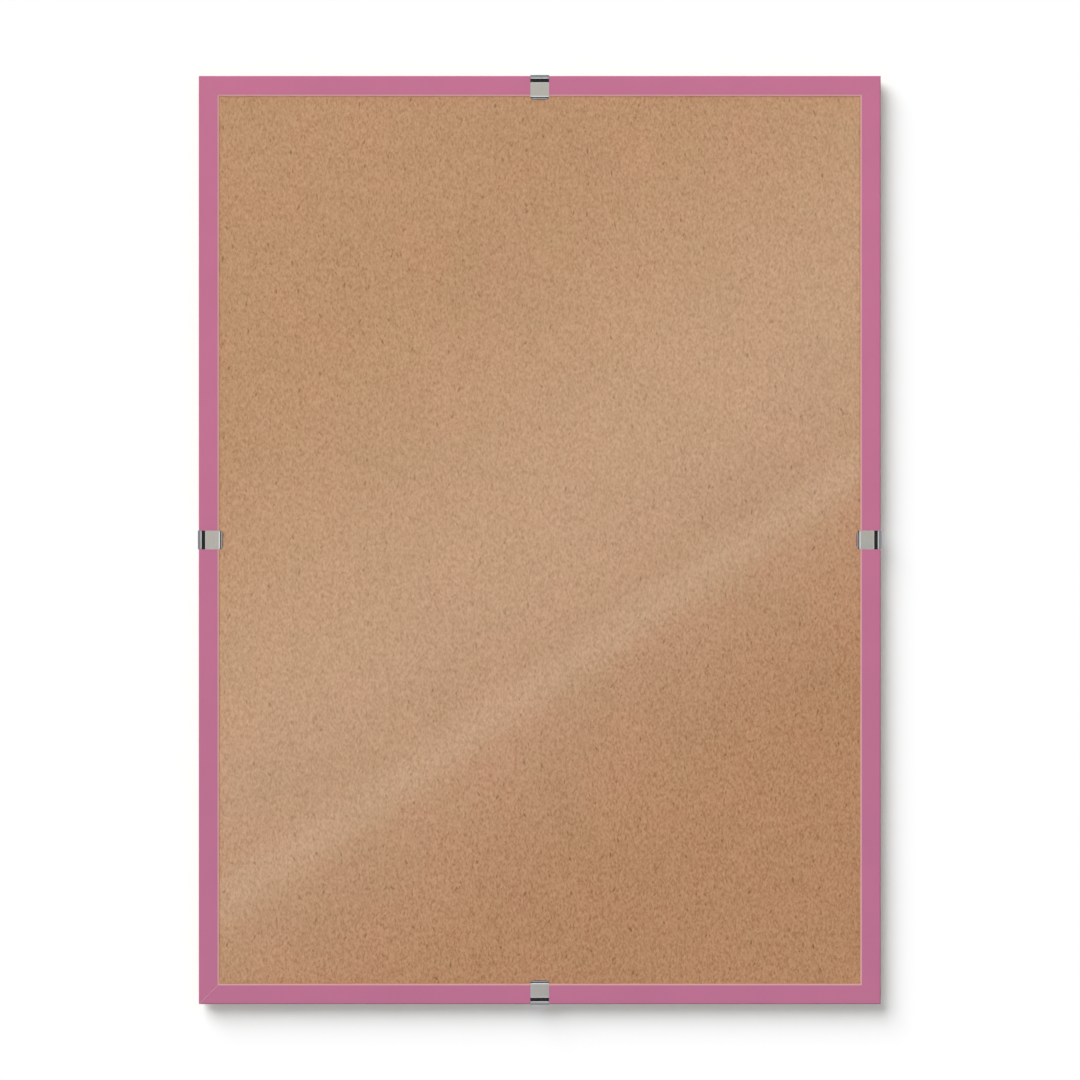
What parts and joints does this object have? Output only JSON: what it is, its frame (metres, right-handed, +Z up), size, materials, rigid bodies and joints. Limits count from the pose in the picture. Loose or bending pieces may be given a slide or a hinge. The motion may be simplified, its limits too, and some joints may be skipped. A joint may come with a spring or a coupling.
{
  "type": "clip frame",
  "caption": "Wall-hung picture frame: a glass pane with a narrow coloured border, held to a fibreboard back by spring clips, with hangers for portrait or landscape.",
  "frame": {"origin": "centre of the portrait hanger's hole, in the plane where the hangers touch the wall, on the frame's vertical centreline and 45 mm below its top edge", "axes": "+X to the viewer's right seen from the front, +Y into the wall (the front faces -Y), +Z up with the frame hung portrait"},
  "size_m": [0.361, 0.0111, 0.491],
  "materials": {
    "fibreboard": "smooth pressed wood fibre, bare",
    "glass": "clear float glass with ground edges",
    "border_lacquer": "matt dusty-pink lacquer on fibreboard strip",
    "bond_tape": "clear double-sided film tape",
    "spring_steel": "nickel-plated spring steel, satin",
    "zinc_plate": "zinc-plated mild steel, stamped"
  },
  "bodies": {
    "frame": {"back_panel": "fibreboard", "glass_pane": "glass", "border_top": "border_lacquer", "border_left": "border_lacquer", "border_bottom": "border_lacquer", "border_right": "border_lacquer", "bond_tape_top": "bond_tape", "bond_tape_left": "bond_tape", "bond_tape_bottom": "bond_tape", "bond_tape_right": "bond_tape", "hanger_portrait": "zinc_plate", "hanger_landscape": "zinc_plate"},
    "clip_top": {"clip_top": "spring_steel"},
    "clip_left": {"clip_left": "spring_steel"},
    "clip_bottom": {"clip_bottom": "spring_steel"},
    "clip_right": {"clip_right": "spring_steel"}
  },
  "joints": [
    {"name": "clip_top_slide", "type": "slide", "parent": "frame", "child": "clip_top", "axis": [0, 0, 1], "range_m": [0, 0.025]},
    {"name": "clip_left_slide", "type": "slide", "parent": "frame", "child": "clip_left", "axis": [-1, 0, 0], "range_m": [0, 0.025]},
    {"name": "clip_bottom_slide", "type": "slide", "parent": "frame", "child": "clip_bottom", "axis": [0, 0, -1], "range_m": [0, 0.025]},
    {"name": "clip_right_slide", "type": "slide", "parent": "frame", "child": "clip_right", "axis": [1, 0, 0], "range_m": [0, 0.025]}
  ]
}
